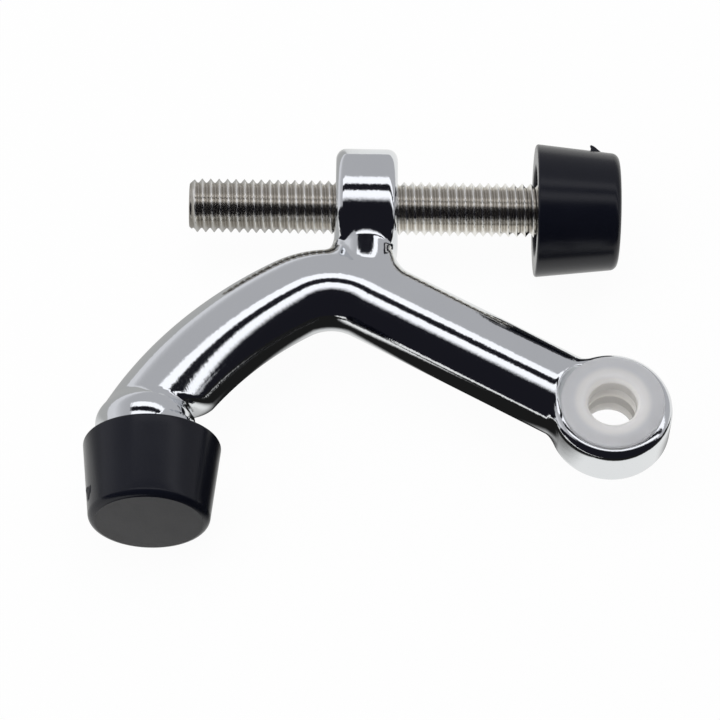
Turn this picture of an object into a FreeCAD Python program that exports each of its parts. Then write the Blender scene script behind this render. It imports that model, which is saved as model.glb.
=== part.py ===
import FreeCAD, Part
import math
import os
from FreeCAD import Vector

os.makedirs("parts", exist_ok=True)

# Hinge pin door stop, all sizes in mm.
# The origin is the middle of the hinge-pin bore. +Z runs along the hinge pin,
# +X along the adjusting rod towards its cap, and the fixed arm's cap faces -Y.

# Eyelet and its two nylon bushings
pin_bore_radius = 3.55
eyelet_radius = 8.7
eyelet_height = 7.8
eyelet_edge_chamfer = 0.8
eyelet_root_round = 0.8
flange_radius = 7.45
flange_thick = 0.9
flange_edge_chamfer = 0.25
sleeve_radius = 5.6
bore_mouth_chamfer = 0.6
seam_gap = 0.2
bushing_fit = 0.03
spot_face_margin = 0.3
spot_flare_width = 4.0
spot_flare_height = 4.8

# Arms of the casting: an oval bar that rises from the eyelet, turns and curves down
arm_angle = 29.3
arm_drop = 0.3
arm_half_width = 6.28
arm_half_height = 5.5
arm_side_radius = 4.9
turn_radius = 11.5
bow_radius = 56.0
bow_centre_x = -17.8
bow_centre_y = -29.3
arm_end_y = 1.5
arm_end_round = 1.1

# Lug that carries the adjusting rod
lug_rise = 14.362
lug_shift = 4.916
lug_width = 9.1
lug_radius = 8.5
lug_edge_round = 1.3
lug_waist_round = 3.0
lug_root_round = 2.5
lug_neck_half_height = 4.2

# Adjusting rod, an M8 screw with 1.25 pitch and a disc head
rod_diameter = 8.0
rod_running_gap = 0.05
rod_end_x = -61.7
rod_end_chamfer = 0.6

# Rubber caps, one moulding used twice
cap_length = 12.3
cap_mouth_radius = 9.9
cap_face_radius = 8.6
cap_face_round = 1.4
cap_face_ease = 0.4
cap_mouth_chamfer = 0.3
cap_lip_length = 1.5
cap_lip_radius = 6.8
cap_head_length = 4.0
cap_head_radius = 7.5
cap_running_gap = 0.05
cap_fit = 0.03
rod_cap_mouth_x = -10.4
arm_cap_shift = -1.13
arm_cap_mouth_y = -5.9

# Spigot at the end of the curved arm, its collar leaning out with the bow
collar_root_shift = -1.63
collar_root_depth = 0.7
collar_root_radius = 5.9
collar_swell_length = 2.1
collar_swell_radius = 6.75
collar_crest_shift = -2.23
collar_crest_y = -3.4
collar_crest_radius = 7.2
collar_foot_radius = 7.0
collar_lean = 0.25

up = Vector(0, 0, 1)
eyelet_half = eyelet_height / 2
bar_tilt = math.radians(arm_angle)


def at(x, y, z=0.0):
    return Vector(x, y, z)


def spun(outline, centre, axis):
    return Part.Face(Part.Wire(outline)).revolve(centre, axis, 360)


def lines_through(points):
    return [Part.LineSegment(a, b).toShape() for a, b in zip(points, points[1:])]


# Centre line of the bar: bow, turn and straight run, tangent to one another
along = at(math.cos(bar_tilt), -math.sin(bar_tilt))
across = at(math.sin(bar_tilt), math.cos(bar_tilt))
bow_centre = at(bow_centre_x, bow_centre_y)
reach = bow_radius - turn_radius
bar_root = across * -arm_drop
foot = bar_root - across * turn_radius - bow_centre
half_b = foot.dot(along)
run = -half_b - math.sqrt(half_b ** 2 - foot.dot(foot) + reach ** 2)
turn_centre = bow_centre + foot + along * run
turn_end = turn_centre + across * turn_radius
to_turn = (turn_centre - bow_centre).normalize()
turn_start = bow_centre + to_turn * bow_radius
turn_top = turn_centre + up.cross(turn_start - turn_end).normalize() * -turn_radius


def on_bow(y):
    return at(bow_centre_x - math.sqrt(bow_radius ** 2 - (y - bow_centre_y) ** 2), y)


# Section of the bar: an oval of four arcs that run into one another
side_offset = arm_half_width - arm_side_radius
top_spare = arm_half_height - arm_side_radius
arm_top_radius = (side_offset ** 2 + arm_half_height ** 2 - arm_side_radius ** 2) / (2 * top_spare)
joint_angle = math.atan2(arm_top_radius - arm_half_height, side_offset)
joint_out = side_offset + arm_side_radius * math.cos(joint_angle)
joint_up = arm_side_radius * math.sin(joint_angle)


def oval(centre, outward):
    def spot(out, high):
        return centre + outward * out + up * high

    corners = [spot(joint_out * a, joint_up * b) for a, b in ((1, 1), (-1, 1), (-1, -1), (1, -1))]
    middles = [spot(arm_half_width * a, arm_half_height * b) for a, b in ((0, 1), (-1, 0), (0, -1), (1, 0))]
    arcs = [Part.Arc(corners[i], middles[i], corners[(i + 1) % 4]).toShape() for i in range(4)]
    return Part.Face(Part.Wire(arcs))


def degrees_round(outward):
    return math.degrees(math.atan2(outward.y, outward.x))


# The oval is turned round the bow's centre, then round the turn's, and drawn straight to the eyelet
bar_tip = on_bow(arm_end_y - 5)
to_tip = (bar_tip - bow_centre).normalize()
bow = oval(bar_tip, to_tip).revolve(bow_centre, up, degrees_round(to_turn) - degrees_round(to_tip))
turn = oval(turn_start, to_turn).revolve(turn_centre, up, degrees_round(across) - degrees_round(to_turn))
straight = oval(turn_end, across).extrude(bar_root - turn_end)
bar = bow.fuse([turn, straight])

# The bar's end is cut square to the cap's axis and its edge is rounded
bar = bar.cut(Part.makeBox(60, 40, 40, at(-100, arm_end_y - 40, -20)))
end_rim = [e for e in bar.Edges if abs(e.CenterOfMass.y - arm_end_y) < 0.01]
bar = bar.makeFillet(arm_end_round, end_rim)

# Eyelet, with a flared spot face that makes room for each bushing's flange
eyelet = Part.makeCylinder(eyelet_radius, eyelet_height, at(0, 0, -eyelet_half))
eyelet = eyelet.makeChamfer(eyelet_edge_chamfer, [e for e in eyelet.Edges if e.isClosed()])
casting = bar.fuse(eyelet)
spot_radius = flange_radius + spot_face_margin
for side in (1, -1):
    flare = Part.makeCone(spot_radius, spot_radius + spot_flare_width, spot_flare_height,
                          at(0, 0, side * eyelet_half), up * side)
    casting = casting.cut(flare)
casting = casting.removeSplitter()


def surfaces_at(shape, edge):
    return sorted(f.Surface.TypeId.split("::Geom")[1] for f in shape.ancestorsOfType(edge, Part.Face))


def from_pin(edge):
    return math.hypot(edge.CenterOfMass.x, edge.CenterOfMass.y)


def is_eyelet_root(edge):
    beside = spot_radius + 0.1 < from_pin(edge) < eyelet_radius + 4 and abs(edge.CenterOfMass.z) < 3
    return beside and surfaces_at(casting, edge) == ["Cylinder", "Cylinder"]


casting = casting.makeFillet(eyelet_root_round, [e for e in casting.Edges if is_eyelet_root(e)])

# Lug: a round boss across the rod, drawn in to a waist where it stands on the bar
rod_axis_y = turn_top.y + lug_rise
lug_centre_x = turn_top.x + lug_shift
lug_left_x = lug_centre_x - lug_width / 2
boss = Part.makeCylinder(lug_radius, lug_width, at(lug_left_x, rod_axis_y), at(1, 0))
stem = Part.makeBox(lug_width, rod_axis_y - turn_top.y, 2 * lug_neck_half_height)
stem.translate(at(lug_left_x, turn_top.y, -lug_neck_half_height))
lug = boss.fuse(stem).removeSplitter()


def is_waist(edge):
    middle = edge.CenterOfMass
    level = abs(abs(middle.z) - lug_neck_half_height) < 0.01 and abs(middle.x - lug_centre_x) < 0.01
    return level and turn_top.y + 0.1 < middle.y < rod_axis_y


def is_lug_side(edge):
    middle = edge.CenterOfMass
    return abs(abs(middle.x - lug_centre_x) - lug_width / 2) < 0.01 and middle.y > turn_top.y + 0.1


lug = lug.makeFillet(lug_waist_round, [e for e in lug.Edges if is_waist(e)])
lug = lug.makeFillet(lug_edge_round, [e for e in lug.Edges if is_lug_side(e)])

# Spigot: a collar that swells out of the arm's end, then a groove for the cap's lip and a button
arm_end_x = on_bow(arm_end_y).x
arm_cap_x = arm_end_x + arm_cap_shift
collar_crest_x = arm_end_x + collar_crest_shift
groove_end_y = arm_cap_mouth_y - cap_lip_length
button_end_y = groove_end_y - cap_head_length
groove_radius = cap_lip_radius - cap_fit
button_radius = cap_head_radius - cap_fit


def ring_across(x, y, radius):
    return Part.Wire(Part.Circle(at(x, y), at(0, 1), radius).toShape())


collar = Part.makeLoft([
    ring_across(arm_end_x + collar_root_shift, arm_end_y + collar_root_depth, collar_root_radius),
    ring_across(collar_crest_x + collar_lean, arm_end_y - collar_swell_length, collar_swell_radius),
    ring_across(collar_crest_x, collar_crest_y, collar_crest_radius),
    ring_across(collar_crest_x + collar_lean, arm_cap_mouth_y, collar_foot_radius),
], True, True)
button_outline = lines_through([
    at(0, collar_crest_y),
    at(groove_radius, collar_crest_y),
    at(groove_radius, groove_end_y),
    at(button_radius, groove_end_y),
    at(button_radius, button_end_y),
    at(0, button_end_y),
    at(0, collar_crest_y),
])
button = spun(button_outline, at(0, 0), at(0, 1))
button.translate(at(arm_cap_x, 0))

bar_skin = casting.Shells[0]
lug_skin = lug.Shells[0]
casting = casting.fuse([lug, collar, button])


def lies_on(skin, edge):
    middle = edge.valueAt((edge.FirstParameter + edge.LastParameter) / 2)
    return skin.distToShape(Part.Vertex(middle))[0] < 0.001


lug_root = [e for e in casting.Edges if lies_on(bar_skin, e) and lies_on(lug_skin, e)]
casting = casting.makeFillet(lug_root_round, lug_root)
bushing_hole = Part.makeCylinder(sleeve_radius + bushing_fit, 2 * eyelet_height, at(0, 0, -eyelet_height))
casting = casting.cut(bushing_hole)
rod_hole = Part.makeCylinder(rod_diameter / 2 + rod_running_gap, 3 * lug_width)
rod_hole.rotate(at(0, 0), at(0, 1), 90)
rod_hole.translate(at(lug_centre_x - 1.5 * lug_width, rod_axis_y))
casting = casting.cut(rod_hole)
casting.exportStep("parts/body.step")

# Adjusting rod: thread core, chamfered end and the disc head that the cap grips
head_back_x = rod_cap_mouth_x + cap_lip_length + cap_running_gap
head_front_x = rod_cap_mouth_x + cap_lip_length + cap_head_length
rod_radius = rod_diameter / 2
head_radius = cap_head_radius - cap_running_gap
rod_outline = lines_through([
    at(rod_end_x, 0),
    at(rod_end_x, rod_radius - rod_end_chamfer),
    at(rod_end_x + rod_end_chamfer, rod_radius),
    at(head_back_x, rod_radius),
    at(head_back_x, head_radius),
    at(head_front_x, head_radius),
    at(head_front_x, 0),
    at(rod_end_x, 0),
])
rod = spun(rod_outline, at(0, 0), at(1, 0))
rod.translate(at(0, rod_axis_y))
rod.exportStep("parts/adjusting_rod.step")


# Rubber cap along +X from its mouth, with a lip that snaps behind the head
def rubber_cap():
    pocket_end = cap_lip_length + cap_head_length
    outline = lines_through([
        at(0, cap_lip_radius),
        at(0, cap_mouth_radius - cap_mouth_chamfer),
        at(cap_mouth_chamfer, cap_mouth_radius),
        at(cap_length - cap_face_round, cap_face_radius),
        at(cap_length - cap_face_ease, cap_face_radius - cap_face_ease),
        at(cap_length, cap_face_radius - cap_face_round),
        at(cap_length, 0),
        at(pocket_end, 0),
        at(pocket_end, cap_head_radius),
        at(cap_lip_length, cap_head_radius),
        at(cap_lip_length, cap_lip_radius),
        at(0, cap_lip_radius),
    ])
    return spun(outline, at(0, 0), at(1, 0))


rod_cap = rubber_cap()
rod_cap.translate(at(rod_cap_mouth_x, rod_axis_y))
rod_cap.exportStep("parts/rod_cap.step")

arm_cap = rubber_cap()
arm_cap.rotate(at(0, 0), at(1, 0), 180)
arm_cap.rotate(at(0, 0), up, -90)
arm_cap.translate(at(arm_cap_x, arm_cap_mouth_y))
arm_cap.exportStep("parts/arm_cap.step")

# Flanged nylon bushing, pushed in from above; a second one is turned over below
flange_top = eyelet_half + flange_thick
bushing_outline = lines_through([
    at(pin_bore_radius, 0, seam_gap / 2),
    at(sleeve_radius, 0, seam_gap / 2),
    at(sleeve_radius, 0, eyelet_half),
    at(flange_radius, 0, eyelet_half),
    at(flange_radius, 0, flange_top - flange_edge_chamfer),
    at(flange_radius - flange_edge_chamfer, 0, flange_top),
    at(pin_bore_radius + bore_mouth_chamfer, 0, flange_top),
    at(pin_bore_radius, 0, flange_top - bore_mouth_chamfer),
    at(pin_bore_radius, 0, seam_gap / 2),
])
bushing = spun(bushing_outline, at(0, 0), up)
bushing.exportStep("parts/bushing_upper.step")
bushing.rotate(at(0, 0), at(1, 0), 180)
bushing.exportStep("parts/bushing_lower.step")
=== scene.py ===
# %% [markdown]
# # A hinge pin door stop, dressed for its picture
#
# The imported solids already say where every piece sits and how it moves. This lesson puts the
# looks on them: polished chrome on the casting, a real screw thread on the adjusting rod, soft
# black caps and milky nylon bushings. All places are in metres in the frame of the solids, so a
# piece made here needs no fitting. The sizes below are written in millimetres, as on a drawing,
# and `MM` turns them into metres.

# %% Load the frame
import math
import bpy
import numpy as np
from mathutils import Matrix, Vector


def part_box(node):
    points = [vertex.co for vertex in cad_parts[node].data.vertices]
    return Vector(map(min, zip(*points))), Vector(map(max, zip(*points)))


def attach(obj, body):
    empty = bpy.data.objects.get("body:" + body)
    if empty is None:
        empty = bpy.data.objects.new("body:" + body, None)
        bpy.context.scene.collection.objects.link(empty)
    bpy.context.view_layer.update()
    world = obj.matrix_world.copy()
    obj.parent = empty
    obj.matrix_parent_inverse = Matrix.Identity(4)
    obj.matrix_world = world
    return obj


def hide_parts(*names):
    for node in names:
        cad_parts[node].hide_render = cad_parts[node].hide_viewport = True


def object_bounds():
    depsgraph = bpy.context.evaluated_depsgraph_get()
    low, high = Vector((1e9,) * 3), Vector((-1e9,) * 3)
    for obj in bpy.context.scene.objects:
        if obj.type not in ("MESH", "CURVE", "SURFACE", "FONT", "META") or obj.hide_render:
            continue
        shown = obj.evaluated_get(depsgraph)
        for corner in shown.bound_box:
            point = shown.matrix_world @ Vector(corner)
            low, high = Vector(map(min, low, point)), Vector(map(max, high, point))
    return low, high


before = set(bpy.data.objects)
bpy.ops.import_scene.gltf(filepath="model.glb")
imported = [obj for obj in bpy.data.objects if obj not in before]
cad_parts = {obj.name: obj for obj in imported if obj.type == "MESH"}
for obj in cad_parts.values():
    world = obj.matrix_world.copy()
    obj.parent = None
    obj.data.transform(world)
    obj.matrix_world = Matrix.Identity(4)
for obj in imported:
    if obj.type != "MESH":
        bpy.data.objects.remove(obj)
cad_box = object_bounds()
MM = 0.001

# %% [markdown]
# ## Shader maths that reads like sums
#
# A material is a web of nodes, and long webs are hard to read as code. `Signal` wraps one output
# socket and lets Python's own operators add the Math nodes, so `1 - mask` is a node with a link.
# `Sheet` is one node tree. Its `node` makes any node: the settings first, then the values or links
# of the sockets. The other methods are short names for nodes that come back in every finish.

# %% Signals and sheets
class Signal:
    def __init__(self, sheet, socket):
        self.sheet = sheet
        self.socket = socket

    def maths(self, operation, first, second):
        return self.sheet.node("ShaderNodeMath", {"operation": operation}, {0: first, 1: second})

    def __add__(self, other):
        return self.maths("ADD", self, other)

    def __radd__(self, other):
        return self.maths("ADD", other, self)

    def __sub__(self, other):
        return self.maths("SUBTRACT", self, other)

    def __rsub__(self, other):
        return self.maths("SUBTRACT", other, self)

    def __mul__(self, other):
        return self.maths("MULTIPLY", self, other)

    def __rmul__(self, other):
        return self.maths("MULTIPLY", other, self)

    def __truediv__(self, other):
        return self.maths("DIVIDE", self, other)

    def __rtruediv__(self, other):
        return self.maths("DIVIDE", other, self)


class Sheet:
    def __init__(self, tree):
        self.tree = tree
        tree.nodes.clear()

    def node(self, kind, settings=None, sockets=None, out=0):
        made = self.tree.nodes.new(kind)
        for name, value in (settings or {}).items():
            setattr(made, name, value)
        for name, value in (sockets or {}).items():
            if isinstance(value, Signal):
                self.tree.links.new(value.socket, made.inputs[name])
            else:
                made.inputs[name].default_value = value
        return Signal(self, made.outputs[out]) if made.outputs else made

    def place(self):
        return self.node("ShaderNodeTexCoord", out="Object")

    def step(self, value, low, high):
        return self.node("ShaderNodeMapRange", {"interpolation_type": "SMOOTHSTEP"},
                         {"Value": value, "From Min": low, "From Max": high})

    def blend(self, share, first, second):
        return self.node("ShaderNodeMix", {"data_type": "RGBA"}, {0: share, 6: first, 7: second}, out=2)

    def noise(self, place, scale, detail=2.0, roughness=0.5):
        return self.node("ShaderNodeTexNoise", None,
                         {"Vector": place, "Scale": scale, "Detail": detail, "Roughness": roughness})

    def bump(self, height, strength, distance):
        return self.node("ShaderNodeBump", None,
                         {"Height": height, "Strength": strength, "Distance": distance})

    def surface(self, **sockets):
        named = {name.replace("_", " "): value for name, value in sockets.items()}
        shader = self.node("ShaderNodeBsdfPrincipled", None, named)
        self.node("ShaderNodeOutputMaterial", None, {"Surface": shader})


def finish_named(name):
    material = bpy.data.materials.new(name)
    material.use_nodes = True
    return material, Sheet(material.node_tree)


print("shader helpers:", Signal.__name__, Sheet.__name__)

# %% [markdown]
# ## Chrome
#
# The casting is zinc under a bright chrome plate. Chrome has hardly any colour of its own: what
# the eye reads is the room in it. A perfect mirror would look drawn, so this one has a faint
# cloudiness and fine marks from the polishing wheel, and a whisper of waviness in the plate that
# keeps the edges of reflected lamps from being ruler straight.

# %% Chrome finish
WHEEL_STRETCH = (2600.0, 900.0, 1400.0)
chrome, sheet = finish_named("chrome_plate")
spot = sheet.place()
haze = sheet.noise(spot, scale=90.0, detail=3.0)
wheel_place = sheet.node("ShaderNodeVectorMath", {"operation": "MULTIPLY"}, {0: spot, 1: WHEEL_STRETCH})
wheel_marks = sheet.noise(wheel_place, scale=1.0, detail=3.0, roughness=0.6)
plate_colour = sheet.blend(haze, (0.80, 0.82, 0.845, 1.0), (0.85, 0.87, 0.89, 1.0))
waviness = sheet.noise(spot, scale=380.0)
sheet.surface(
    Base_Color=plate_colour,
    Metallic=1.0,
    Roughness=0.03 + 0.03 * haze + 0.03 * wheel_marks,
    Normal=sheet.bump(0.4 * waviness + 0.5 * wheel_marks, strength=0.25, distance=0.1 * MM),
)
print("finish:", chrome.name)

# %% [markdown]
# ## Nickel on the screw
#
# The rod is a plain nickel-plated screw: warmer and duller than chrome, with painted shade in
# the roots of the thread. Painting the roots by hand would mean an image, so a mask by distance
# from the rod's axis darkens and dulls them, and the crests stay bright.

# %% Rod finish
rod_low, rod_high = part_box("adjusting_rod")
rod_axis = (rod_low + rod_high) / 2
DARK_ROOT, BRIGHT_CREST = 3.35 * MM, 3.95 * MM


def along_axis(place, name):
    return place.sheet.node("ShaderNodeSeparateXYZ", None, {0: place}, out=name)


def distance_across(first, second):
    return first.sheet.node("ShaderNodeMath", {"operation": "SQRT"}, {0: first * first + second * second})


nickel, sheet = finish_named("nickel_steel")
spot = sheet.place()
from_axis = distance_across(along_axis(spot, "Y") - rod_axis.y, along_axis(spot, "Z") - rod_axis.z)
# Painted shade: the mask is 0 in the thread's roots, which take a darker colour, and 1 on the crests
crest = sheet.step(from_axis, DARK_ROOT, BRIGHT_CREST)
grime = sheet.noise(spot, scale=700.0, detail=4.0, roughness=0.6)
steel_tone = sheet.blend(grime, (0.88, 0.86, 0.82, 1.0), (0.96, 0.95, 0.92, 1.0))
sheet.surface(
    Base_Color=sheet.blend(crest, (0.52, 0.49, 0.44, 1.0), steel_tone),
    Metallic=1.0,
    Roughness=0.22 - 0.12 * crest + 0.08 * grime,
    Normal=sheet.bump(grime, strength=0.06, distance=0.1 * MM),
)
print("finish:", nickel.name)

# %% [markdown]
# ## Black rubber
#
# The caps are moulded rubber with a soft gloss on the wall, where the mould was polished, and a
# matt grey face that meets the door. One material with a mask could do both, but two materials on
# one mesh are easier to change. Each has a slow bloom in its colour and a fine grain in its bump.

# %% Cap finishes
cap_wall, sheet = finish_named("cap_rubber_wall")
spot = sheet.place()
bloom = sheet.noise(spot, scale=160.0, detail=3.0)
pores = sheet.noise(spot, scale=3200.0)
sheet.surface(
    Base_Color=sheet.blend(bloom, (0.0035, 0.0042, 0.0085, 1.0), (0.006, 0.007, 0.013, 1.0)),
    Roughness=0.19 + 0.08 * bloom,
    Specular_IOR_Level=0.32,
    Normal=sheet.bump(pores, strength=0.05, distance=0.08 * MM),
)

cap_face, sheet = finish_named("cap_rubber_face")
spot = sheet.place()
bloom = sheet.noise(spot, scale=220.0, detail=4.0, roughness=0.6)
grain = sheet.noise(spot, scale=4200.0)
sheet.surface(
    Base_Color=sheet.blend(bloom, (0.064, 0.064, 0.065, 1.0), (0.080, 0.080, 0.081, 1.0)),
    Roughness=0.78 + 0.10 * grain,
    Normal=sheet.bump(grain, strength=0.12, distance=0.08 * MM),
)
print("finishes:", cap_wall.name, cap_face.name)

# %% [markdown]
# ## Natural nylon
#
# The bushings are milky nylon, where light enters and comes out again, so the finish uses
# subsurface scattering. The thick part round the bore looks warm and the thin flange, with chrome
# under it, looks cooler: a mask by distance from the pin's axis blends the two. Real nylon carries
# light down into the bore, and a very faint glow on the bore's wall stands for that.

# %% Bushing finish
BORE_WALL, BORE_LIP = 3.55 * MM, 4.1 * MM
THIN_FROM, THIN_TO = 4.9 * MM, 5.9 * MM
nylon, sheet = finish_named("natural_nylon")
spot = sheet.place()
from_pin = distance_across(along_axis(spot, "X"), along_axis(spot, "Y"))
thin_rim = sheet.step(from_pin, THIN_FROM, THIN_TO)
in_bore = 1 - sheet.step(from_pin, BORE_WALL, BORE_LIP)
cloud = sheet.noise(spot, scale=260.0, detail=3.0)
warm_core = sheet.blend(cloud, (0.90, 0.885, 0.85, 1.0), (0.94, 0.925, 0.89, 1.0))
cool_rim = sheet.blend(cloud, (0.76, 0.775, 0.79, 1.0), (0.80, 0.815, 0.83, 1.0))
sheet.surface(
    Base_Color=sheet.blend(thin_rim, warm_core, cool_rim),
    Roughness=0.38 + 0.10 * cloud,
    Subsurface_Weight=0.9,
    Subsurface_Radius=(1.0, 1.0, 0.95),
    Subsurface_Scale=7.0 * MM,
    Emission_Color=sheet.blend(in_bore, (0.0, 0.0, 0.0, 1.0), (1.0, 0.95, 0.88, 1.0)),
    Emission_Strength=0.14,
    Normal=sheet.bump(cloud, strength=0.03, distance=0.1 * MM),
)
print("finish:", nylon.name)

# %% [markdown]
# ## The casting as a distance field
#
# The casting is one flowing shape: an oval bar that turns and bows, an eyelet, a lug and a collar
# that melt into one another with the soft roots of a polished casting. Box modelling fights such
# roots, and mirror chrome shows every crooked facet. So the shape is written as a distance field:
# a function that says how far a point is outside the metal. Fields join with a rounded union,
# which leaves a true fillet, and a net of quads is then drawn where the field is zero. The
# normals come from the field itself, so reflections run as smoothly as on the real plate.

# %% Joining fields
def fillet_join(first, second, radius):
    corner = np.hypot(np.maximum(radius - first, 0), np.maximum(radius - second, 0))
    return np.maximum(np.minimum(first, second), radius) - corner


def rounded_common(first, second, radius):
    corner = np.hypot(np.maximum(first + radius, 0), np.maximum(second + radius, 0))
    return np.minimum(np.maximum(first, second) + radius, 0) + corner - radius


def oval_field(out, high, half_width, half_height):
    shape = np.hypot(out / half_width, high / half_height)
    slope = np.hypot(out / half_width ** 2, high / half_height ** 2) + 1e-9
    return shape * (shape - 1) / slope


def smooth(share):
    share = np.clip(share, 0, 1)
    return share * share * (3 - 2 * share)


print("a 1 mm fillet fills a square corner by", -round(float(fillet_join(0.0, 0.0, 1.0)), 3), "mm")

# %% [markdown]
# ## Centre line of the bar
#
# Seen from above, the bar leaves the eyelet in a straight run, goes round a tight turn under the
# lug and comes down in a wide bow. A curve could be drawn by eye, but then nobody could say its
# radii. The three are tangent, so the turn's centre follows from the two radii: it lies one turn
# radius inside the straight run, and the difference of the radii away from the bow's centre.

# %% Straight run, turn and bow
ARM_TILT = math.radians(29.3)
ARM_DROP = 0.3
TURN_RADIUS, BOW_RADIUS = 11.5, 56.0
BOW_CENTRE = np.array([-17.8, -29.3])
ARM_END_Y = 1.5

along = np.array([math.cos(ARM_TILT), -math.sin(ARM_TILT)])
across = np.array([math.sin(ARM_TILT), math.cos(ARM_TILT)])
bar_root = -ARM_DROP * across
foot = bar_root - TURN_RADIUS * across - BOW_CENTRE
half_b = foot @ along
run = -half_b - math.sqrt(half_b ** 2 - foot @ foot + (BOW_RADIUS - TURN_RADIUS) ** 2)
turn_centre = BOW_CENTRE + foot + run * along
turn_end = turn_centre + TURN_RADIUS * across
run_length = (bar_root - turn_end) @ along
straight_heading = math.atan2(across[1], across[0])
bow_heading = math.atan2(*(turn_centre - BOW_CENTRE)[::-1])
arm_end_x = BOW_CENTRE[0] - math.sqrt(BOW_RADIUS ** 2 - (ARM_END_Y - BOW_CENTRE[1]) ** 2)
print("turn centre", turn_centre.round(2), "run", round(run_length, 2), "arm end x", round(arm_end_x, 2))

# %% [markdown]
# ## The oval bar
#
# The bar is oval all along and grows a little taller towards the end of the bow, where it has to
# carry the cap. Each of the three stretches measures how far a point is from the centre line, and
# the nearest stretch wins. Outside its own stretch a field is simply far away.

# %% Bar field
BAR_HALF_WIDTH, BAR_HALF_HEIGHT = 6.25, 5.3
BOW_WIDER, BOW_HIGHER = 0.2, 0.7
SWELL_ANGLE, BOW_ANGLE = 0.55, 1.0
RUN_INTO_EYELET = 3.0
FAR = 50.0


def bar_field(x, y, z):
    ahead = (x - turn_end[0]) * along[0] + (y - turn_end[1]) * along[1]
    out = (x - turn_end[0]) * across[0] + (y - turn_end[1]) * across[1]
    in_run = (ahead >= 0) & (ahead <= run_length + RUN_INTO_EYELET)
    straight = np.where(in_run, oval_field(out, z, BAR_HALF_WIDTH, BAR_HALF_HEIGHT), FAR)

    heading = np.arctan2(y - turn_centre[1], x - turn_centre[0])
    out = np.hypot(x - turn_centre[0], y - turn_centre[1]) - TURN_RADIUS
    in_turn = (heading >= straight_heading) & (heading <= bow_heading)
    turn = np.where(in_turn, oval_field(out, z, BAR_HALF_WIDTH, BAR_HALF_HEIGHT), FAR)

    heading = np.arctan2(y - BOW_CENTRE[1], x - BOW_CENTRE[0])
    out = np.hypot(x - BOW_CENTRE[0], y - BOW_CENTRE[1]) - BOW_RADIUS
    swell = smooth((heading - bow_heading) / SWELL_ANGLE)
    in_bow = (heading >= bow_heading) & (heading <= bow_heading + BOW_ANGLE)
    half_width = BAR_HALF_WIDTH + BOW_WIDER * swell
    half_height = BAR_HALF_HEIGHT + BOW_HIGHER * swell
    bow = np.where(in_bow, oval_field(out, z, half_width, half_height), FAR)
    return np.minimum(np.minimum(straight, turn), bow)


print("bar", 2 * BAR_HALF_WIDTH, "mm wide and", 2 * BAR_HALF_HEIGHT, "mm high")

# %% [markdown]
# ## The end of the bow
#
# The bow ends in a ledge that leans: it reaches further along the arm on top than below. Out of it
# comes the collar, a barrel that leans with the bow and runs into the cap, where a groove and a
# button hold the rubber. Cutting a lathe shape from the bar would leave a hard seam, so the barrel
# is a field too: a cylinder whose radius shrinks with the square of the way from its crest.

# %% Ledge, collar, groove and button
LEDGE_Y, LEDGE_LEAN, LEDGE_ROUND, BOW_SIDE_X = 0.0, 0.2, 1.1, -40.0
CREST_Y, CREST_OUT, COLLAR_BEND = -2.6, 2.23, 0.019
COLLAR_RADIUS, SHRINK_ABOVE, SHRINK_BELOW = 7.2, 0.16, 0.07
COLLAR_MIDDLE, COLLAR_HALF, COLLAR_EDGE, COLLAR_ROOT = -2.0, 4.4, 0.3, 0.5
SPIGOT_OUT = 1.13
GROOVE_RADIUS, GROOVE_MIDDLE, GROOVE_HALF, GROOVE_EDGE = 6.77, -5.5, 2.2, 0.1
BUTTON_RADIUS, BUTTON_MIDDLE, BUTTON_HALF, BUTTON_EDGE = 7.47, -9.4, 1.98, 0.3


def with_arm_end(bar, x, y, z):
    ledge = LEDGE_Y - LEDGE_LEAN * z
    metal = np.where(x < BOW_SIDE_X, rounded_common(bar, ledge - y, LEDGE_ROUND), bar)
    over_crest = y - CREST_Y
    crest_x = arm_end_x - CREST_OUT + COLLAR_BEND * over_crest ** 2
    shrink = np.where(over_crest > 0, SHRINK_ABOVE, SHRINK_BELOW) * over_crest ** 2
    barrel = np.hypot(x - crest_x, z) - COLLAR_RADIUS + shrink
    collar = rounded_common(barrel, np.abs(y - COLLAR_MIDDLE) - COLLAR_HALF, COLLAR_EDGE)
    metal = fillet_join(metal, collar, COLLAR_ROOT)
    from_spigot = np.hypot(x - arm_end_x + SPIGOT_OUT, z)
    groove = rounded_common(from_spigot - GROOVE_RADIUS, np.abs(y - GROOVE_MIDDLE) - GROOVE_HALF, GROOVE_EDGE)
    button = rounded_common(from_spigot - BUTTON_RADIUS, np.abs(y - BUTTON_MIDDLE) - BUTTON_HALF, BUTTON_EDGE)
    return np.minimum(metal, np.minimum(groove, button))


print("collar radius", COLLAR_RADIUS, "button radius", BUTTON_RADIUS)

# %% [markdown]
# ## The eyelet
#
# The eyelet is a short ring with soft rims. The bar stands higher than the ring, so a flared spot
# face is cut into the bar first, to make room for the bushing's flange. Cutting before joining
# leaves the ring whole.

# %% Eyelet
EYELET_RADIUS, EYELET_HALF, EYELET_RIM, EYELET_ROOT = 8.7, 3.9, 1.5, 0.8
SPOT_RADIUS, SPOT_SLOPE, SPOT_SINK, SPOT_EDGE = 7.65, 0.4, 1.0, 0.45


def with_eyelet(metal, x, y, z):
    beyond_pin = np.hypot(x, y)
    level = np.abs(z) - EYELET_HALF
    flare = (beyond_pin - SPOT_RADIUS - SPOT_SLOPE * level) / math.hypot(1, SPOT_SLOPE)
    spot_face = np.maximum(flare, -level - SPOT_SINK)
    metal = rounded_common(metal, -spot_face, SPOT_EDGE)
    ring = rounded_common(beyond_pin - EYELET_RADIUS, level, EYELET_RIM)
    return fillet_join(metal, ring, EYELET_ROOT)


print("eyelet", 2 * EYELET_RADIUS, "mm across and", 2 * EYELET_HALF, "mm high")

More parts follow.
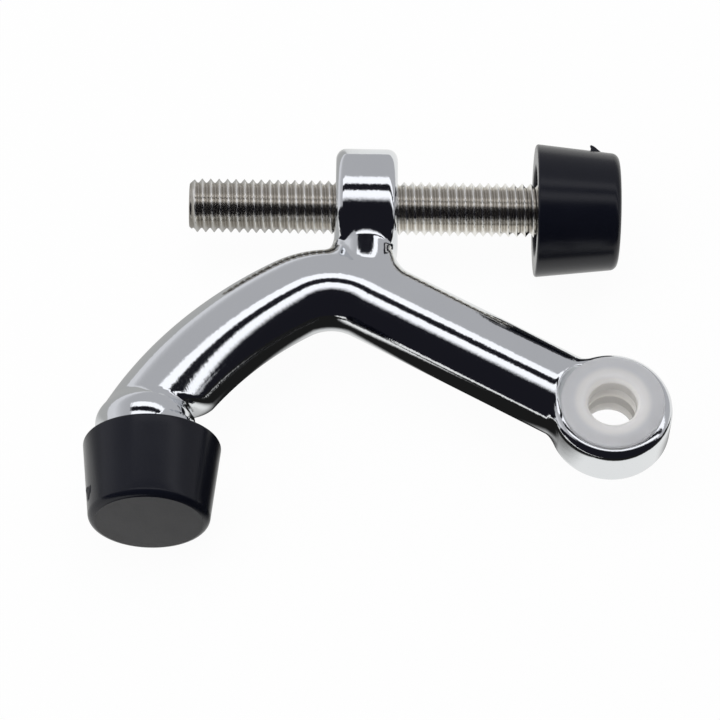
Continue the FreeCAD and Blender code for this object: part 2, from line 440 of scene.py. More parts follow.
# %% [markdown]
# ## The lug
#
# The lug is a boss round the rod with a neck down to the bar. Crossing the boss's outline with a
# slab gives it its thickness. Its top and its underside lie a little behind the rod's axis. The
# neck is flat at its foot and then climbs to the boss, later at its sides than in its middle, which
# makes the small hook of light at the root. The join with the bar is tight in the middle and soft
# at the sides.

# %% Lug
ROD_Y = rod_axis.y / MM
LUG_X, LUG_WIDTH, LUG_RADIUS, LUG_EDGE = -35.5, 9.1, 8.5, 1.5
BOSS_SHAPE, BOSS_LEAN, BOSS_LEAN_POWER = 2.12, 0.85, 4
NECK_HALF, NECK_FOOT, NECK_TOP = 4.69, 22.0, 30.2
RAMP_Y, RAMP_BOW, RAMP_SLOPE, RAMP_EASE = 23.0, 0.12, 0.22, 1.1
NECK_INSET, NECK_ROUND, NECK_JOIN = 0.3, 4.0, 1.0
ROOT_MIDDLE, ROOT_SIDE, SIDE_FROM, SIDE_TO = 0.4, 2.2, 1.8, 4.2


def lug_field(x, y, z):
    aside = np.abs(x - LUG_X)
    slab = aside - LUG_WIDTH / 2
    behind_rod = y - ROD_Y - BOSS_LEAN * (z / LUG_RADIUS) ** BOSS_LEAN_POWER
    from_rod = (np.abs(behind_rod) ** BOSS_SHAPE + np.abs(z) ** BOSS_SHAPE) ** (1 / BOSS_SHAPE)
    boss = rounded_common(from_rod - LUG_RADIUS, slab, LUG_EDGE)
    climb = np.maximum(y - RAMP_Y - RAMP_BOW * aside ** 2, 0)
    neck_half = NECK_HALF + RAMP_SLOPE * climb ** 2 / (climb + RAMP_EASE)
    neck = rounded_common(np.abs(z) - neck_half, slab + NECK_INSET, NECK_ROUND)
    neck = np.maximum(neck, np.abs(y - (NECK_TOP + NECK_FOOT) / 2) - (NECK_TOP - NECK_FOOT) / 2)
    return fillet_join(boss, neck, NECK_JOIN)


def with_lug(metal, x, y, z):
    at_side = smooth((np.abs(x - LUG_X) - SIDE_FROM) / (SIDE_TO - SIDE_FROM))
    root = ROOT_MIDDLE + (ROOT_SIDE - ROOT_MIDDLE) * at_side
    return fillet_join(metal, lug_field(x, y, z), root)


print("lug round the rod at y", round(ROD_Y, 2))

# %% [markdown]
# ## The whole casting
#
# The pieces are added in the order in which they lie over one another, and the two holes are cut
# last, with a small rounding at their mouths as the polishing wheel leaves it.

# %% Casting field
BUSHING_HOLE, BUSHING_HOLE_EDGE = 5.63, 0.15
ROD_HOLE, ROD_HOLE_EDGE = 4.05, 0.25


def casting_field(x, y, z):
    metal = with_arm_end(bar_field(x, y, z), x, y, z)
    metal = with_eyelet(metal, x, y, z)
    metal = with_lug(metal, x, y, z)
    metal = rounded_common(metal, BUSHING_HOLE - np.hypot(x, y), BUSHING_HOLE_EDGE)
    return rounded_common(metal, ROD_HOLE - np.hypot(y - ROD_Y, z), ROD_HOLE_EDGE)


print("field at the bar's middle:", round(float(casting_field(-20.0, 11.0, 0.0)), 2))

# %% [markdown]
# ## A net of quads over the field
#
# The field is sampled on a fine grid. Each small cell that the skin passes through gets one point,
# first at the middle of its edge crossings, then slid along the slope of the field until it lies
# on the skin. Every grid edge that goes in or out of the metal gives one quad between the four
# cells round it. The Remesh modifier would work too, but it knows nothing of the field, so its
# points lie less exactly on the skin.

# %% Points of the net
def slope_of(field, points, reach=0.01):
    slope = np.empty_like(points)
    for axis in range(3):
        ahead, behind = points.copy(), points.copy()
        ahead[:, axis] += reach
        behind[:, axis] -= reach
        slope[:, axis] = (field(*ahead.T) - field(*behind.T)) / (2 * reach)
    return slope


def skin_cells(depth):
    """Which cells the skin passes through, and the middle of the edge crossings of each."""
    cells = [n - 1 for n in depth.shape]
    crossings = np.zeros(cells + [3])
    weight = np.zeros(cells)

    def corner(shift):
        return depth[tuple(slice(s, n + s) for s, n in zip(shift, cells))]

    for axis in range(3):
        others = [k for k in range(3) if k != axis]
        for a, b in ((0, 0), (0, 1), (1, 0), (1, 1)):
            near = [0, 0, 0]
            near[others[0]], near[others[1]] = a, b
            far = list(near)
            far[axis] = 1
            near_depth, far_depth = corner(near), corner(far)
            cut = (near_depth < 0) != (far_depth < 0)
            share = np.where(cut, near_depth / np.where(cut, near_depth - far_depth, 1), 0)
            weight += cut
            for k in range(3):
                crossings[..., k] += np.where(cut, share if k == axis else near[k], 0)
    active = weight > 0
    return active, crossings[active] / weight[active][:, None]


print("net: one point for each cell on the skin")

# %% [markdown]
# A quad must face outwards, so its four cells are taken one way round where the edge leaves the
# metal and the other way round where it enters.

# %% Quads of the net
LEAVING_TURN = ((1, 1), (0, 1), (0, 0), (1, 0))
ENTERING_TURN = ((1, 1), (1, 0), (0, 0), (0, 1))
SETTLE_STEPS, LEAST_SLOPE = 4, 0.05


def quads_round_edges(inside, number):
    quads = []
    for axis in range(3):
        u, v = (axis + 1) % 3, (axis + 2) % 3
        first = np.take(inside, range(inside.shape[axis] - 1), axis)
        second = np.take(inside, range(1, inside.shape[axis]), axis)
        for leaving, turn in ((True, LEAVING_TURN), (False, ENTERING_TURN)):
            edges = np.argwhere((first != second) & (first == leaving))
            edges = edges[(edges[:, u] > 0) & (edges[:, v] > 0)]
            ring = []
            for back_u, back_v in turn:
                cell_at = edges.copy()
                cell_at[:, u] -= back_u
                cell_at[:, v] -= back_v
                ring.append(number[tuple(cell_at.T)])
            quads.append(np.stack(ring, 1))
    return np.concatenate(quads)


def net_over(field, low, high, cell):
    ticks = [a + cell * np.arange(int(math.ceil((b - a) / cell)) + 1) for a, b in zip(low, high)]
    depth = np.stack([field(x, *np.meshgrid(ticks[1], ticks[2], indexing="ij")) for x in ticks[0]])
    active, points = skin_cells(depth)
    points = (points + np.argwhere(active)) * cell + np.array(low)
    for _ in range(SETTLE_STEPS):
        slope = slope_of(field, points)
        steepness = np.maximum((slope ** 2).sum(1, keepdims=True), LEAST_SLOPE)
        points -= np.clip(field(*points.T)[:, None] * slope / steepness, -cell / 2, cell / 2)
    number = np.full(active.shape, -1)
    number[active] = np.arange(len(points))
    return points, quads_round_edges(depth < 0, number)


print("net: each point settles in", SETTLE_STEPS, "steps")

# %% [markdown]
# ## The casting's mesh
#
# The points and quads become one mesh, with the field's own slope as its normals. It rides
# on the casting body and stands in for the plain solid of the body.

# %% Casting
NET_CELL, NET_MARGIN = 0.36, 1.5


def mesh_piece(name, points, faces, finishes, normals=None):
    mesh = bpy.data.meshes.new(name)
    mesh.from_pydata((np.asarray(points) * MM).tolist(), [], faces)
    for finish in finishes:
        mesh.materials.append(finish)
    mesh.shade_smooth()
    if normals is not None:
        mesh.normals_split_custom_set_from_vertices(normals.tolist())
    piece = bpy.data.objects.new(name, mesh)
    bpy.context.scene.collection.objects.link(piece)
    print(name, len(mesh.vertices), "points", len(mesh.polygons), "faces")
    return piece


body_low, body_high = (np.array(corner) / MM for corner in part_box("body"))
skin_points, skin_quads = net_over(casting_field, body_low - NET_MARGIN, body_high + NET_MARGIN, NET_CELL)
skin_normals = slope_of(casting_field, skin_points)
skin_normals /= np.linalg.norm(skin_normals, axis=1, keepdims=True)
casting = mesh_piece("chrome_casting", skin_points, skin_quads.tolist(), [chrome], skin_normals)
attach(casting, "casting")
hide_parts("body")

# %% [markdown]
# ## The adjusting rod
#
# A screw thread is a ridge wound round a core. The Screw modifier can wind a profile, but a tube of
# fine rings is simpler to end cleanly: each point's radius comes from where it stands in the
# winding, its place along the rod less its share of a turn. A 60 degree profile has straight
# flanks, a small flat on the crest and a round root. Here a slight power on the flank stands for
# the round root. The chamfer at the free end and the disc that the cap grips are simply smaller or
# larger radii.

# %% Rings of a tube
def tube_faces(rings, around):
    ring, column = np.meshgrid(np.arange(rings - 1), np.arange(around), indexing="ij")
    after = (column + 1) % around
    here, there = ring * around, (ring + 1) * around
    quad = [here + column, here + after, there + after, there + column]
    return np.stack(quad, -1).reshape(-1, 4)[:, ::-1].tolist()


def end_faces(points, around):
    """The two flat ends that close a tube."""
    count = len(points)
    return [list(range(around)), list(range(count - around, count))[::-1]]


def turned_about_x(x_list, radius_rows, centre_y=0.0):
    angle = np.linspace(0, 2 * math.pi, radius_rows.shape[1], endpoint=False)
    x = np.repeat(np.asarray(x_list)[:, None], len(angle), 1)
    y = centre_y + radius_rows * np.cos(angle)
    z = radius_rows * np.sin(angle)
    return np.stack([x, y, z], -1).reshape(-1, 3)


print("tubes turn about x, the way the rod lies")

# %% [markdown]
# The head ends a hair short of the pocket's end in its cap, so that the two faces never lie in one
# plane. Edges sharper than a limit are kept crisp, and the rest is shaded smooth.

# %% Threaded rod
PITCH, CREST_RADIUS, ROOT_RADIUS = 1.25, 3.97, 3.37
ROOT_FLAT, FLANK_SPAN, FLANK_POWER = 0.12, 0.80, 1.2
RINGS_A_TURN, ROD_ROUND = 22, 64
CHAMFER_DEPTH, CHAMFER_SLOPE = 0.75, 0.9
HEAD_THICK, HEAD_CLEAR, HEAD_EDGE, HEAD_INNER = 3.95, 0.03, 0.25, 4.6
SHARP_EDGE = math.radians(50)
rod_end_x = rod_low.x / MM
head_front_x = rod_high.x / MM - HEAD_CLEAR
head_back_x = rod_high.x / MM - HEAD_THICK
HEAD_RADIUS = (rod_high.z - rod_low.z) / 2 / MM


def thread_radius(x, turn_share):
    phase = np.abs(((x / PITCH - turn_share) % 1.0) - 0.5) * 2
    flank = np.clip((phase - ROOT_FLAT) / FLANK_SPAN, 0, 1)
    return ROOT_RADIUS + (CREST_RADIUS - ROOT_RADIUS) * flank ** FLANK_POWER


turns = (head_back_x - rod_end_x) / PITCH
thread_x = np.linspace(rod_end_x, head_back_x, int(turns * RINGS_A_TURN))
turn_share = np.linspace(0, 1, ROD_ROUND, endpoint=False)
thread_rows = thread_radius(thread_x[:, None], turn_share[None, :])
chamfer = CREST_RADIUS - CHAMFER_DEPTH + CHAMFER_SLOPE * (thread_x - rod_end_x)
thread_rows = np.minimum(thread_rows, chamfer[:, None])
eased_radius = HEAD_RADIUS - HEAD_EDGE
head_x = [head_back_x, head_back_x, head_back_x + HEAD_EDGE, head_front_x - HEAD_EDGE, head_front_x]
head_rows = np.array([HEAD_INNER, eased_radius, HEAD_RADIUS, HEAD_RADIUS, eased_radius])
rod_x = np.concatenate([thread_x, head_x])
rod_rows = np.concatenate([thread_rows, np.repeat(head_rows[:, None], ROD_ROUND, 1)])
rod_points = turned_about_x(rod_x, rod_rows, ROD_Y)
rod_faces = tube_faces(len(rod_x), ROD_ROUND) + end_faces(rod_points, ROD_ROUND)
rod = mesh_piece("adjusting_rod_threaded", rod_points, rod_faces, [nickel])
rod.data.set_sharp_from_angle(angle=SHARP_EDGE)
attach(rod, "screw")
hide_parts("adjusting_rod")

# %% [markdown]
# ## Rubber caps
#
# Both caps come from one mould: a tapered cup with a lip that snaps over a disc. A lathe outline
# is spun round the cap's axis, as the Spin tool would do it. Corners of the outline are rounded
# with short arcs, so that the soft highlight of rubber has an edge to sit on. The face keeps its
# own matt finish.

# %% Rounded outlines
ARC_POINTS = 9


def unit(vector):
    return vector / np.linalg.norm(vector)


def eased(outline):
    """Outline points with each corner that has a rounding replaced by a short arc."""
    soft = []
    for k, (a, b, rounding) in enumerate(outline):
        here = np.array([a, b])
        if not rounding:
            soft.append(here)
            continue
        back = unit(np.array(outline[k - 1][:2]) - here)
        ahead = unit(np.array(outline[(k + 1) % len(outline)][:2]) - here)
        half = math.acos(np.clip(back @ ahead, -1, 1)) / 2
        centre = here + unit(back + ahead) * rounding / math.sin(half)
        start = here + back * rounding / math.tan(half) - centre
        finish = here + ahead * rounding / math.tan(half) - centre
        for share in np.linspace(0, 1, ARC_POINTS):
            soft.append(centre + unit(start * (1 - share) + finish * share) * rounding)
    return np.array(soft)


print("a rounded corner has", ARC_POINTS, "points")

# %% [markdown]
# The outline runs from the bottom of the pocket round the lip and the wall to the middle of the
# face. It lists the place along the cap, the radius and the rounding of each corner. Long stretches
# get more rows, so that no quad is a sliver.

# %% Cap mesh
CAP_LENGTH, CAP_MOUTH, CAP_FACE = 12.3, 9.9, 8.6
LIP_LENGTH, LIP_RADIUS = 1.5, 6.8
POCKET_END, POCKET_RADIUS = 5.5, 7.5
POCKET_EDGE, LIP_EDGE, MOUTH_EDGE, FACE_EDGE = 0.08, 0.25, 0.35, 1.15
AXIS_HOLE = 0.01
CAP_ROUND, ROW_SPACING, FACE_DEPTH = 96, 1.2, 0.02
cap_outline = [
    (POCKET_END, AXIS_HOLE, 0), (POCKET_END, POCKET_RADIUS, POCKET_EDGE),
    (LIP_LENGTH, POCKET_RADIUS, POCKET_EDGE), (LIP_LENGTH, LIP_RADIUS, LIP_EDGE),
    (0.0, LIP_RADIUS, MOUTH_EDGE), (0.0, CAP_MOUTH, MOUTH_EDGE),
    (CAP_LENGTH, CAP_FACE, FACE_EDGE), (CAP_LENGTH, AXIS_HOLE, 0),
]


def rubber_cap(name):
    corners = eased(cap_outline)
    rows = [corners[0]]
    for a, b in zip(corners, corners[1:]):
        pieces = max(1, int(np.linalg.norm(b - a) / ROW_SPACING))
        rows += [a + (b - a) * (k + 1) / pieces for k in range(pieces)]
    rows = np.array(rows)
    points = turned_about_x(rows[:, 0], np.repeat(rows[:, 1:], CAP_ROUND, 1))
    faces = tube_faces(len(rows), CAP_ROUND) + end_faces(points, CAP_ROUND)
    piece = mesh_piece(name, points, faces, [cap_wall, cap_face])
    for face in piece.data.polygons:
        face.material_index = int(face.center.x > (CAP_LENGTH - FACE_DEPTH) * MM)
    return piece


print("cap outline has", len(eased(cap_outline)), "points")

# %% [markdown]
# ## Gate stubs
#
# A torn stub on each cap's wall shows where the mould's gate was broken off. It is a short ragged
# tube that narrows and leans, with waves round its outline in place of a real tear. Its foot sits
# inside the wall, so no gap shows. The rod cap's stub stands up and the arm cap's is torn off short.

# %% Gate stub
STUB_HEIGHTS = np.array([-0.6, 0.0, 0.25, 0.5, 0.75, 0.9])
STUB_WIDTHS = np.array([0.85, 0.72, 0.52, 0.36, 0.26, 0.10])
STUB_LEANS = np.array([0.0, 0.0, -0.10, -0.26, -0.46, -0.62])
STUB_ROUND, TORN_FROM, TORN_WAVE = 14, 0.3, 0.06
RAGGED_WAVES = ((0.18, 3, 0.7), (0.10, 5, 0.0))


def gate_stub(name, rise, spread):
    angles = np.linspace(0, 2 * math.pi, STUB_ROUND, endpoint=False)
    ragged = 1 + sum(size * np.sin(waves * angles + start) for size, waves, start in RAGGED_WAVES)
    points = []
    for height, width, lean in zip(STUB_HEIGHTS * rise, STUB_WIDTHS * spread, STUB_LEANS * rise):
        torn = TORN_WAVE * np.sin(2 * angles) * (height > TORN_FROM)
        ring_x = width * ragged * np.cos(angles) + lean
        ring_z = width * ragged * np.sin(angles)
        points += np.stack([ring_x, height + torn, ring_z], 1).tolist()
    faces = [face[::-1] for face in tube_faces(len(STUB_HEIGHTS), STUB_ROUND)]
    return mesh_piece(name, points, faces + end_faces(points, STUB_ROUND), [cap_wall])


print("gate stub has", len(STUB_HEIGHTS), "rings")

# %% [markdown]
# ## Caps in place
#
# The cap is drawn along +X from its mouth. The rod's cap only needs moving to the rod. The arm's
# cap is turned to face down the arm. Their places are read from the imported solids. The rod's cap
# rides on the pad body, which slides without turning, and the arm's cap on the casting.

# %% Place the caps
GATE_FROM_MOUTH, GATE_RADIUS = 8.8, 8.95


def turned(degrees, axis):
    return Matrix.Rotation(math.radians(degrees), 4, axis)


def placed(piece, matrix):
    piece.data.transform(matrix)
    return piece


rod_cap_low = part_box("rod_cap")[0]
arm_cap_low, arm_cap_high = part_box("arm_cap")
to_rod = Matrix.Translation((rod_cap_low.x, rod_axis.y, 0))
arm_cap_x = (arm_cap_low.x + arm_cap_high.x) / 2
to_arm = Matrix.Translation((arm_cap_x, arm_cap_high.y, 0)) @ turned(-90, "Z") @ turned(180, "X")
gate = Matrix.Translation((GATE_FROM_MOUTH * MM, GATE_RADIUS * MM, 0))

for name, stub_name, place, body, node, gate_turn, gate_rise, gate_spread in (
    ("rod_cap_rubber", "rod_cap_gate_stub", to_rod, "pad", "rod_cap", 28, 1.0, 1.0),
    ("arm_cap_rubber", "arm_cap_gate_stub", to_arm, "casting", "arm_cap", -17, 0.35, 1.5),
):
    cap = placed(rubber_cap(name), place)
    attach(cap, body)
    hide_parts(node)
    stub = placed(gate_stub(stub_name, gate_rise, gate_spread), place @ turned(gate_turn, "X") @ gate)
    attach(stub, body)

# %% [markdown]
# ## Nylon bushings
#
# Two flanged bushings are pushed into the eyelet from above and below and nearly meet inside. The
# outline is closed, so the last ring joins the first one and no end faces are needed. It is drawn
# about x like the caps and then stood up, and the lower bushing is the same one turned over.

# %% Bushings
PIN_RADIUS, SLEEVE_RADIUS, FLANGE_RADIUS = 3.55, 5.6, 7.45
FLANGE_TOP, SEAM = 4.8, 0.1
BORE_EDGE, SLEEVE_EDGE, UNDER_EDGE, FLANGE_EDGE, BORE_MOUTH = 0.08, 0.1, 0.12, 0.32, 1.0
bushing_outline = [
    (SEAM, PIN_RADIUS, BORE_EDGE), (SEAM, SLEEVE_RADIUS, SLEEVE_EDGE),
    (EYELET_HALF, SLEEVE_RADIUS, 0), (EYELET_HALF, FLANGE_RADIUS, UNDER_EDGE),
    (FLANGE_TOP, FLANGE_RADIUS, FLANGE_EDGE), (FLANGE_TOP, PIN_RADIUS, BORE_MOUTH),
]


def bushing(name, turned_over):
    rows = eased(bushing_outline)
    points = turned_about_x(rows[:, 0], np.repeat(rows[:, 1:], CAP_ROUND, 1))
    faces = [face[::-1] for face in tube_faces(len(rows), CAP_ROUND)]
    last = (len(rows) - 1) * CAP_ROUND
    for k in range(CAP_ROUND):
        after = (k + 1) % CAP_ROUND
        faces.append([last + after, last + k, k, after])
    piece = mesh_piece(name, points, faces, [nylon])
    return placed(piece, turned(180 if turned_over else 0, "X") @ turned(-90, "Y"))


for name, node, turned_over in (("bushing_upper_nylon", "bushing_upper", False),
                                ("bushing_lower_nylon", "bushing_lower", True)):
    piece = bushing(name, turned_over)
    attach(piece, "casting")
    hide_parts(node)

# %% [markdown]
# ## Floor
#
# The part lies on a white sweep of paper. A floor that is only lit would come out grey, so the
# Light Path node makes it glow white for the eye, for mirrors and through clear things. A small
# share stays plain paint, and that share takes the soft shadow of the part.

# %% Floor
FLOOR_REACH, FLOOR_GLOW = 0.6, 0.96
floor_z = cad_box[0].z
middle = (cad_box[0] + cad_box[1]) / 2


def stage_mesh(name, corners, faces, material, only_mirrored=False):
    mesh = bpy.data.meshes.new(name)
    mesh.from_pydata(corners, [], faces)
    mesh.materials.append(material)
    card = bpy.data.objects.new(name, mesh)
    bpy.context.scene.collection.objects.link(card)
    if only_mirrored:
        for way in ("visible_camera", "visible_diffuse", "visible_transmission", "visible_shadow"):
            setattr(card, way, False)
    print("stage:", name, len(faces), "faces")


def floor_corners(height):
    return [(middle.x + side_x * FLOOR_REACH, middle.y + side_y * FLOOR_REACH, height)
            for side_x, side_y in ((-1, -1), (1, -1), (1, 1), (-1, 1))]


def larger(first, second):
    return first.sheet.node("ShaderNodeMath", {"operation": "MAXIMUM"}, {0: first, 1: second})


def white_to_eye_and_mirror(sheet):
    seen = sheet.node("ShaderNodeLightPath", out="Is Camera Ray")
    mirrored = sheet.node("ShaderNodeLightPath", out="Is Glossy Ray")
    through = sheet.node("ShaderNodeLightPath", out="Is Transmission Ray")
    return larger(seen, larger(mirrored, through))


floor_paint, sheet = finish_named("floor_paint")
diffuse = sheet.node("ShaderNodeBsdfDiffuse", None, {"Color": (0.9, 0.9, 0.9, 1.0)})
glow = sheet.node("ShaderNodeEmission", None, {"Color": (1.0, 1.0, 1.0, 1.0), "Strength": 1.0})
glow_share = white_to_eye_and_mirror(sheet) * FLOOR_GLOW
shader = sheet.node("ShaderNodeMixShader", None, {0: glow_share, 1: diffuse, 2: glow})
sheet.node("ShaderNodeOutputMaterial", None, {"Surface": shader})
ONE_QUAD = [[0, 1, 2, 3]]
stage_mesh("floor", floor_corners(floor_z), ONE_QUAD, floor_paint)

# %% [markdown]
# ## The tent
#
# Chrome is lit by what it mirrors. Over the floor stands a photographer's tent, seen only in
# reflections: grey cloth behind and at the sides, two long white strips overhead with a dark gap
# between them, and black cloth in front, which gives the bars their deep dark bands. Lamps with
# hard edges could do the same, but cloth drawn by direction is easier to place: `depth` and `side`
# say how far back and how far right a spot on the dome lies for each bit of height.

# %% Tent cloth
DRIFT_SHARE, DRIFT_FROM, LEAST_HEIGHT = 0.18, 0.4, 0.001
FRONT_STRIP = (-0.27, -0.08, 0.05, 0.09)
BACK_STRIP = (0.25, 0.29, 0.48, 0.54)
STRIP_SPAN = (-0.72, -0.62, 2.2, 2.5)
BEHIND_FROM, CLOTH_FOOT, LEFT_FADE = (0.44, 0.52), (-0.45, -0.30), (-3.0, -0.7)
CLOTH_GREY, LEFT_GREY, FRONT_BLACK, STRIP_WHITE = 0.44, 0.25, 0.010, 1.15
TENT_BLUE_SHARE, TENT_BLUE_LIFT = 1.03, 0.004


def band(value, rise_low, rise_high, fall_low, fall_high):
    rise = value.sheet.step(value, rise_low, rise_high)
    return rise * (1 - value.sheet.step(value, fall_low, fall_high))


def glowing_cloth(light, blue):
    sheet = light.sheet
    cloth = sheet.node("ShaderNodeCombineColor", None, {0: light, 1: light, 2: blue})
    glow = sheet.node("ShaderNodeEmission", None, {"Color": cloth, "Strength": 1.0})
    sheet.node("ShaderNodeOutputMaterial", None, {"Surface": glow})


tent_cloth, sheet = finish_named("tent_cloth")
spot = sheet.node("ShaderNodeNewGeometry", out="Position")
height = larger(along_axis(spot, "Z") - middle.z, LEAST_HEIGHT)
depth = (along_axis(spot, "Y") - middle.y) / height
side = (along_axis(spot, "X") - middle.x) / height
drift = depth + DRIFT_SHARE * larger(side - DRIFT_FROM, 0.0)
strip_span = band(side, *STRIP_SPAN)
strips = (band(drift, *FRONT_STRIP) + band(drift, *BACK_STRIP)) * strip_span
above_foot = sheet.step(drift, *CLOTH_FOOT)
around = larger(sheet.step(drift, *BEHIND_FROM), (1 - strip_span) * above_foot)
to_left = (1 - sheet.step(side, *LEFT_FADE)) * above_foot
grey_cloth = around * CLOTH_GREY + to_left * LEFT_GREY + FRONT_BLACK
tent_light = grey_cloth + strips * (STRIP_WHITE - grey_cloth)
glowing_cloth(tent_light, tent_light * TENT_BLUE_SHARE + TENT_BLUE_LIFT)
print("finish:", tent_cloth.name)

# %% [markdown]
# The tent itself is a dome of rings that reaches just below the part's middle. The eye and the light
# of the lamps pass through it.

# %% Tent dome
TENT_RADIUS, TENT_RINGS, TENT_ROUND = 0.5, 24, 64
TENT_FOOT, TENT_RISE = -1, 91
dome_corners = []
for ring in range(TENT_RINGS + 1):
    lift = math.radians(TENT_FOOT + TENT_RISE * ring / TENT_RINGS)
    for k in range(TENT_ROUND):
        turn = 2 * math.pi * k / TENT_ROUND
        spoke = Vector((math.cos(lift) * math.cos(turn), math.cos(lift) * math.sin(turn), math.sin(lift)))
        dome_corners.append(middle + TENT_RADIUS * spoke)
dome_faces = tube_faces(TENT_RINGS + 1, TENT_ROUND)
stage_mesh("tent", dome_corners, dome_faces, tent_cloth, only_mirrored=True)

# %% [markdown]
# ## The reflected floor
#
# The undersides of the bars mirror the floor close by. On the real table that floor is not evenly
# white: it is dark under the arms and in front, where the part and the black cloth shade it, and
# pale by the cap. Painting that on the floor itself would show, so a second sheet just above it is
# seen by mirrors alone. Its patches are soft boxes in x and y, in millimetres.

# %% Reflected floor
FLAG_LIFT = 0.2 * MM
ARMS_X, FRONT_OF_LUG_Y = (-72, -62, -16, -8), (8, 14)
RIGHT_X = (26, 40)
RING_X, RING_Y = (-72, -62, 8, 14), (-5, 0, 8, 14)
FRONT_X, FRONT_Y = (-84, -72), (-34, -22)
CAP_X, CAP_Y = (-56, -46), (-34, -22, -4, 4)
BOW_X, BOW_Y = (-50, -34), (-2, 10)
FLAG_WHITE, BEHIND_BOW_DIM, FLAG_BLACK, FLAG_BLUE_SHARE = 0.85, 0.43, 0.012, 0.985

flag_cloth, sheet = finish_named("flag_cloth")
spot = sheet.node("ShaderNodeNewGeometry", out="Position")
flag_x = along_axis(spot, "X") / MM
flag_y = along_axis(spot, "Y") / MM
before_lug = 1 - sheet.step(flag_y, *FRONT_OF_LUG_Y)
under_arms = band(flag_x, *ARMS_X) * before_lug
to_right = sheet.step(flag_x, *RIGHT_X) * before_lug
beside_ring = band(flag_y, *RING_Y) * band(flag_x, *RING_X)
in_front = sheet.step(flag_x, *FRONT_X) * (1 - sheet.step(flag_y, *FRONT_Y))
shaded = larger(larger(under_arms, to_right), larger(beside_ring, in_front))
by_cap = (1 - sheet.step(flag_x, *CAP_X)) * band(flag_y, *CAP_Y)
behind_bow = (1 - sheet.step(flag_x, *BOW_X)) * sheet.step(flag_y, *BOW_Y)
flag_light = (FLAG_WHITE - BEHIND_BOW_DIM * behind_bow) * (1 - shaded * (1 - by_cap)) + FLAG_BLACK
glowing_cloth(flag_light, flag_light * FLAG_BLUE_SHARE)
flag_corners = floor_corners(floor_z + FLAG_LIFT)
stage_mesh("flag_on_floor", flag_corners, ONE_QUAD, flag_cloth, only_mirrored=True)

# %% [markdown]
# ## A slip of black paper
#
# Without help, the inner side of the bow mirrors a thin pale stripe of the floor in front of the
# eyelet. A photographer would stand a slip of black paper there, and so does this scene. It is only
# a few millimetres high, so it hides little else.

# %% Black paper
PAPER_X, PAPER_NEAR, PAPER_FAR, PAPER_HIGH = -14 * MM, -34 * MM, -9 * MM, 6 * MM
black_paper, sheet = finish_named("black_paper")
fibre = sheet.noise(sheet.place(), scale=600.0, detail=3.0)
paper_colour = sheet.blend(fibre, (0.008, 0.008, 0.009, 1.0), (0.014, 0.014, 0.015, 1.0))
sheet.surface(Base_Color=paper_colour, Roughness=0.9)
paper_corners = [(PAPER_X, PAPER_NEAR, floor_z), (PAPER_X, PAPER_FAR, floor_z),
                 (PAPER_X, PAPER_FAR, floor_z + PAPER_HIGH), (PAPER_X, PAPER_NEAR, floor_z + PAPER_HIGH)]
stage_mesh("black_paper", paper_corners, ONE_QUAD, black_paper, only_mirrored=True)

# %% [markdown]
# ## World and lamps
#
# Rubber and nylon need real light, not only reflections. A dim even world fills the shadows, and
# two large soft lamps from above and from the left give the caps their gentle gloss. The lamps are
# hidden from mirrors, because the tent already draws what the chrome sees.

# %% World and lamps
ROOM_GREY = (0.42, 0.42, 0.43, 1.0)
world = bpy.data.worlds.new("white_room")
bpy.context.scene.world = world
world.use_nodes = True
sheet = Sheet(world.node_tree)
room = sheet.blend(white_to_eye_and_mirror(sheet), ROOM_GREY, (1.0, 1.0, 1.0, 1.0))
shader = sheet.node("ShaderNodeBackground", None, {"Color": room, "Strength": 1.0})
sheet.node("ShaderNodeOutputWorld", None, {"Surface": shader})


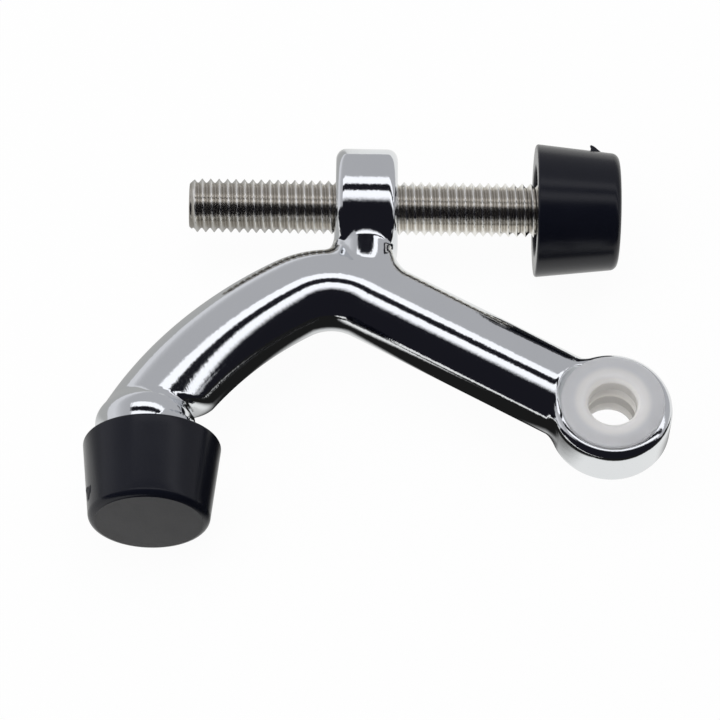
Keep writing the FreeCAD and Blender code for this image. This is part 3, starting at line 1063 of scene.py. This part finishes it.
def soft_lamp(name, place, size, watts):
    light = bpy.data.lights.new(name, "AREA")
    light.shape = "RECTANGLE"
    light.size, light.size_y = size
    light.energy = watts
    lamp = bpy.data.objects.new(name, light)
    bpy.context.scene.collection.objects.link(lamp)
    lamp.location = middle + Vector(place)
    lamp.rotation_euler = (-Vector(place)).to_track_quat("-Z", "Y").to_euler()
    lamp.visible_glossy = False
    return lamp


overhead = soft_lamp("overhead_lamp", place=(-0.05, 0.10, 0.45), size=(0.5, 0.3), watts=1.1)
from_left = soft_lamp("side_lamp", place=(-0.40, -0.15, 0.30), size=(0.3, 0.3), watts=0.5)
print("lamps:", overhead.name, from_left.name)

# %% [markdown]
# ## Camera
#
# The camera looks down at sixty degrees with a long lens, a little rolled, as a product picture is
# taken. Its turn, lift and roll are angles round the part's own axes, and the lens fits the part
# in a square picture. Building the matrix from its three axes shows each angle's share, where a
# Track To constraint would hide the roll.

# %% Camera
VIEW_TURN, VIEW_LIFT, VIEW_ROLL = math.radians(-0.895), math.radians(60.0), math.radians(1.692)
VIEW_DISTANCE, VIEW_TARGET = 0.521965, Vector((-0.036149, 0.008845, 0.0))
SENSOR_WIDTH, LENS = 36.0, 180.0
towards_eye = Vector((math.sin(VIEW_TURN) * math.cos(VIEW_LIFT),
                      -math.cos(VIEW_TURN) * math.cos(VIEW_LIFT), math.sin(VIEW_LIFT)))
level_right = Vector((math.cos(VIEW_TURN), math.sin(VIEW_TURN), 0.0))
level_top = towards_eye.cross(level_right)
right = level_right * math.cos(VIEW_ROLL) + level_top * math.sin(VIEW_ROLL)
top = level_top * math.cos(VIEW_ROLL) - level_right * math.sin(VIEW_ROLL)
eye = bpy.data.cameras.new("product_camera")
eye.sensor_width = SENSOR_WIDTH
eye.lens = LENS
camera = bpy.data.objects.new("product_camera", eye)
bpy.context.scene.collection.objects.link(camera)
stand = Matrix((right, top, towards_eye)).transposed().to_4x4()
stand.translation = VIEW_TARGET + towards_eye * VIEW_DISTANCE
camera.matrix_world = stand
bpy.context.scene.camera = camera
bpy.context.scene.view_settings.view_transform = "Standard"
print("camera at", tuple(round(v, 3) for v in camera.matrix_world.translation))

# %% [markdown]
# ## Last update

# %% Update the view layer
bpy.context.view_layer.update()
